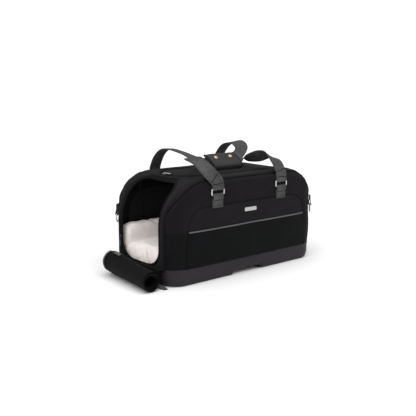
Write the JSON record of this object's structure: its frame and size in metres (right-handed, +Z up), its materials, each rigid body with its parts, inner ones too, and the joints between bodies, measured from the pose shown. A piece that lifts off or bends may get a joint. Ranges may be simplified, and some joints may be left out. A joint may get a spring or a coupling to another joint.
{
  "type": "pet carrier bag",
  "caption": "Soft-sided pet carrier bag on a moulded tray, with a rolled-down front door, zipped top and rear doors, a bolster bed and webbing handles.",
  "frame": {"origin": "on the floor, under the middle of the bag's tray", "axes": "+X from the open front end to the rear, +Y from the near side with the badge to the far side, +Z up"},
  "size_m": [0.6436, 0.2992, 0.3625],
  "materials": {
    "tray_plastic": "moulded purple-grey plastic with a fine texture",
    "stiffener_board": "semi-rigid board",
    "bed_plush": "cream short-pile plush",
    "body_fabric": "near-black padded woven fabric",
    "piping": "black covered piping",
    "hoop_steel": "spring steel strip",
    "zip_tape": "black zip tape and coil",
    "mesh_fabric": "dark ventilated mesh",
    "bright_trim": "reflective grey tape",
    "badge_metal": "plain satin plate",
    "webbing": "grey heather webbing",
    "ring_metal": "polished silver",
    "grip_fabric": "charcoal padded wrap",
    "snap_metal": "copper-toned snap studs",
    "zip_metal": "satin silver"
  },
  "bodies": {
    "bag": {"base_tray": "tray_plastic", "floor_board": "stiffener_board", "bed_cushion": "bed_plush", "side_panel_near": "body_fabric", "side_panel_far": "body_fabric", "side_board_near": "stiffener_board", "side_board_far": "stiffener_board", "front_frame": "body_fabric", "top_band": "body_fabric", "rear_frame": "body_fabric", "piping_near": "piping", "piping_far": "piping", "front_hoop": "hoop_steel", "rear_hoop": "hoop_steel", "front_zip_track": "zip_tape", "top_zip_track": "zip_tape", "rear_zip_track": "zip_tape", "pocket_near": "body_fabric", "pocket_far": "body_fabric", "mesh_pocket_near": "mesh_fabric", "mesh_pocket_far": "mesh_fabric", "pocket_trim_near": "bright_trim", "pocket_trim_far": "bright_trim", "badge": "badge_metal", "tab_near_front": "webbing", "tab_near_rear": "webbing", "tab_far_front": "webbing", "tab_far_rear": "webbing", "d_tab_rear": "webbing", "d_tab_front": "webbing", "top_zip_slider": "zip_metal", "rear_zip_slider": "zip_metal", "front_zip_slider": "zip_metal"},
    "near_handle": {"handle_near": "webbing", "grip_wrap": "grip_fabric", "grip_snaps": "snap_metal", "ring_near_front": "ring_metal", "ring_near_rear": "ring_metal"},
    "far_handle": {"handle_far": "webbing", "ring_far_front": "ring_metal", "ring_far_rear": "ring_metal"},
    "roof_door": {"top_door": "body_fabric"},
    "back_door": {"rear_door": "body_fabric", "rear_window": "mesh_fabric"},
    "front_door": {"door_flap": "body_fabric", "door_roll": "body_fabric", "roll_pull_tab": "webbing"},
    "d_ring_back": {"d_ring_rear": "ring_metal"},
    "d_ring_fore": {"d_ring_front": "ring_metal"},
    "top_pull": {"top_zip_pull": "zip_metal"},
    "back_pull": {"rear_zip_pull": "zip_metal"},
    "front_pull": {"front_zip_pull": "zip_metal"}
  },
  "joints": [
    {"name": "near_handle_swing", "type": "hinge", "parent": "bag", "child": "near_handle", "pos_m": [0, -0.1454, 0.242], "axis": [1, 0, 0], "range_deg": [0, 160]},
    {"name": "far_handle_swing", "type": "hinge", "parent": "bag", "child": "far_handle", "pos_m": [0, 0.1454, 0.242], "axis": [1, 0, 0], "range_deg": [-160, 0]},
    {"name": "top_door_lift", "type": "hinge", "parent": "bag", "child": "roof_door", "pos_m": [0.1825, 0, 0.2885], "axis": [0, 1, 0], "range_deg": [0, 80]},
    {"name": "rear_door_drop", "type": "hinge", "parent": "bag", "child": "back_door", "pos_m": [0.2855, 0, 0.058], "axis": [0, 1, 0], "range_deg": [0, 100]},
    {"name": "front_door_lift", "type": "hinge", "parent": "bag", "child": "front_door", "pos_m": [-0.2865, 0, 0.062], "axis": [0, 1, 0], "range_deg": [0, 75]},
    {"name": "rear_d_ring_swing", "type": "hinge", "parent": "bag", "child": "d_ring_back", "pos_m": [0.27378, -0.12878, 0.168], "axis": [-0.7071, -0.7071, 0], "range_deg": [0, 150]},
    {"name": "front_d_ring_swing", "type": "hinge", "parent": "bag", "child": "d_ring_fore", "pos_m": [-0.27378, 0.12878, 0.168], "axis": [0.7071, 0.7071, 0], "range_deg": [0, 150]},
    {"name": "top_pull_swing", "type": "hinge", "parent": "bag", "child": "top_pull", "pos_m": [-0.1795, 0.0215, 0.2902], "axis": [-1, 0, 0], "range_deg": [0, 150]},
    {"name": "rear_pull_swing", "type": "hinge", "parent": "bag", "child": "back_pull", "pos_m": [0.29, 0.0915, 0.1335], "axis": [0, -1, 0], "range_deg": [0, 150]},
    {"name": "front_pull_swing", "type": "hinge", "parent": "bag", "child": "front_pull", "pos_m": [-0.29, 0.0915, 0.1055], "axis": [0, 1, 0], "range_deg": [0, 150]}
  ],
  "couplings": [
    {"joint": "far_handle_swing", "follows": "near_handle_swing", "ratio": -1},
    {"joint": "top_door_lift", "follows": "near_handle_swing", "ratio": 0.5}
  ]
}
